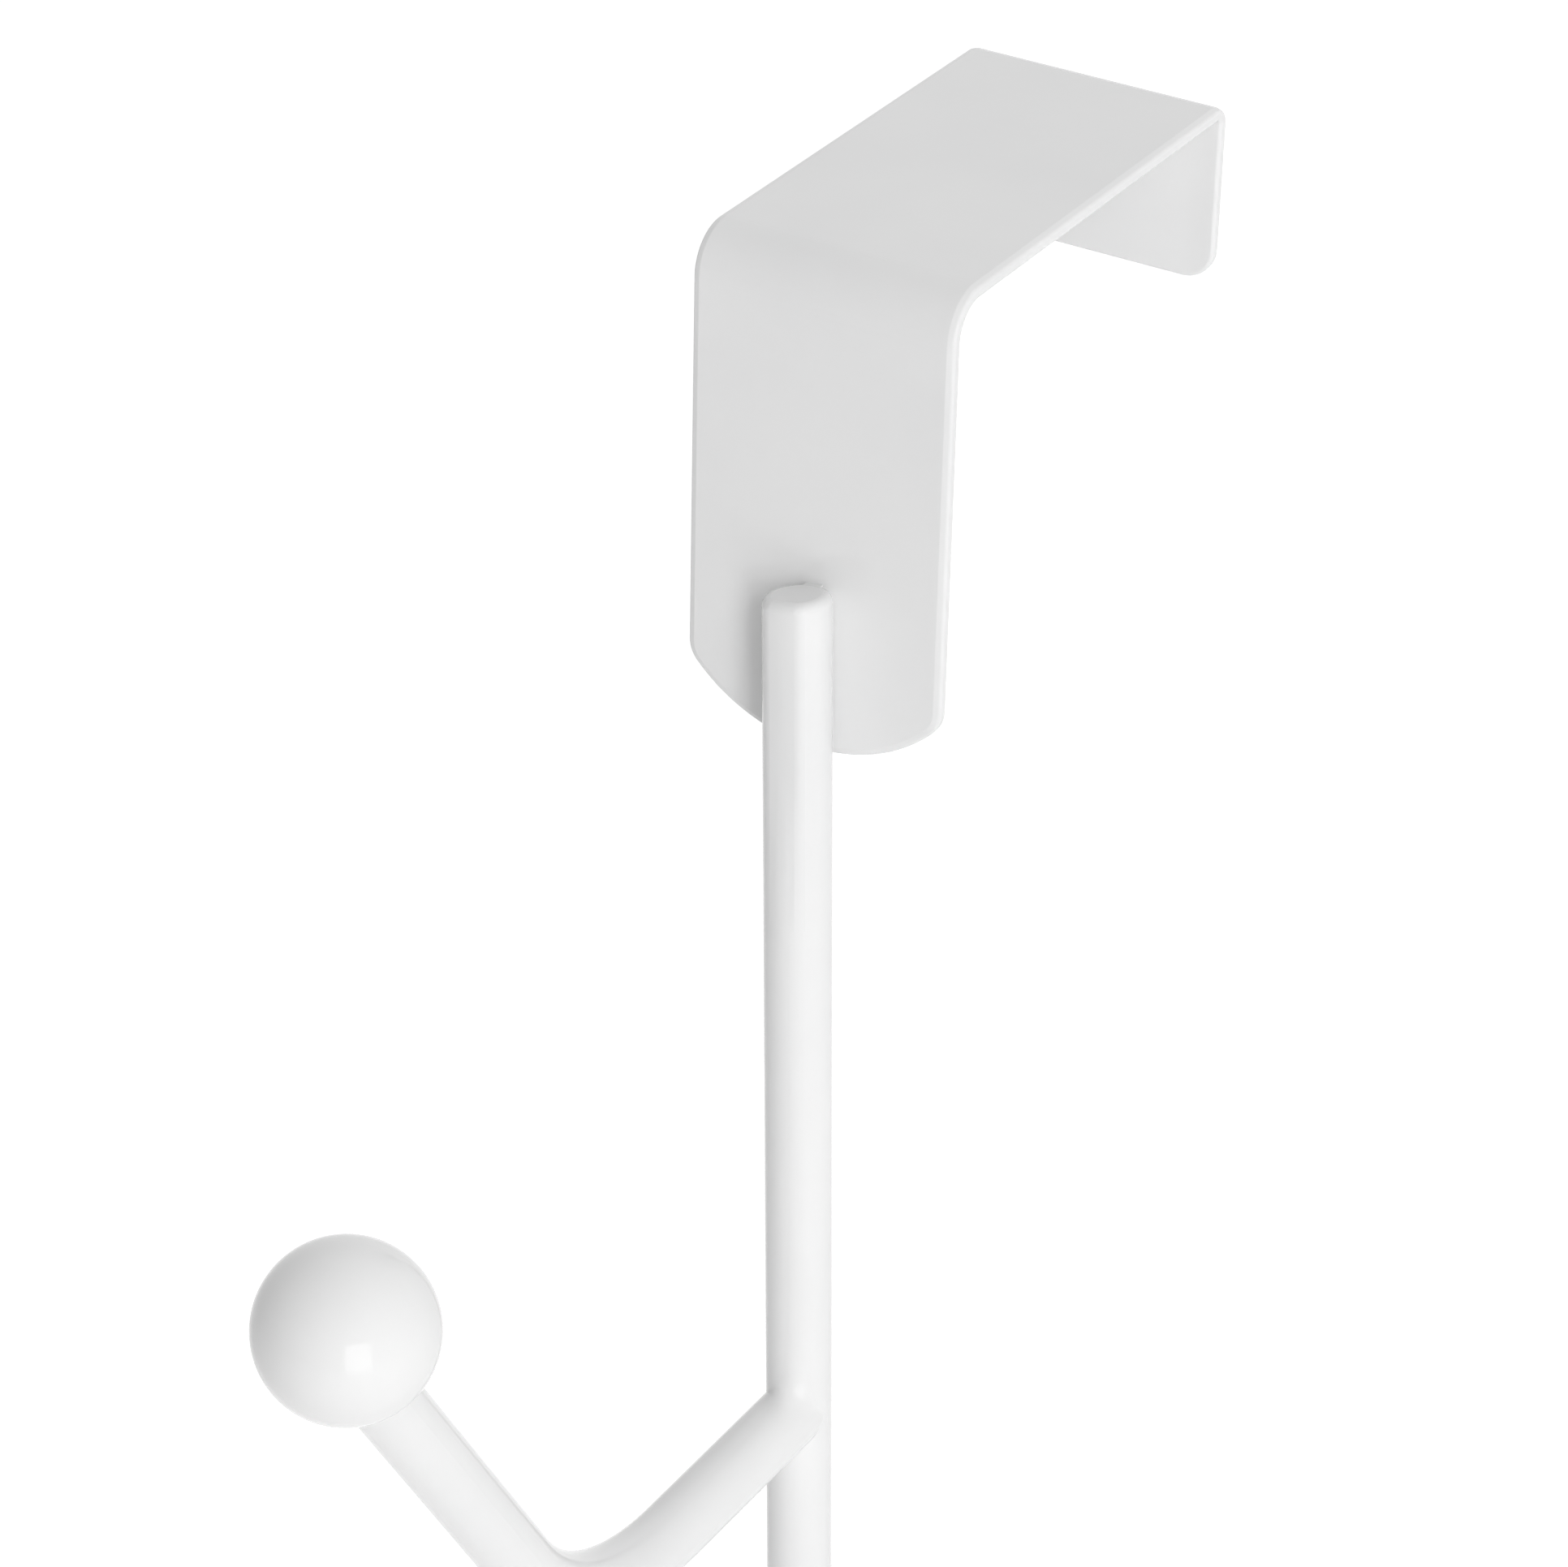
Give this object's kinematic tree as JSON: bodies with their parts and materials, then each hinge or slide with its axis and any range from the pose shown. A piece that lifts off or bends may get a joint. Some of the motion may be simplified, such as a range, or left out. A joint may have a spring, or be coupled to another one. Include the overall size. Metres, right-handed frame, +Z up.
{
  "type": "over door hook",
  "caption": "White steel over door hook: a folded strap hangs on the door's top edge, and a straight rod on its front carries an upturned arm that ends in a ball.",
  "frame": {"origin": "middle of the strap's underside, which rests on the door's top edge", "axes": "+X along the door, +Y from the room into the door, +Z up"},
  "size_m": [0.025, 0.1291, 0.1392],
  "materials": {
    "white_paint": "gloss"
  },
  "bodies": {
    "root": {"door_strap": "white_paint", "stem_rod": "white_paint", "hook_arm": "white_paint", "ball_tip": "white_paint"}
  },
  "joints": []
}
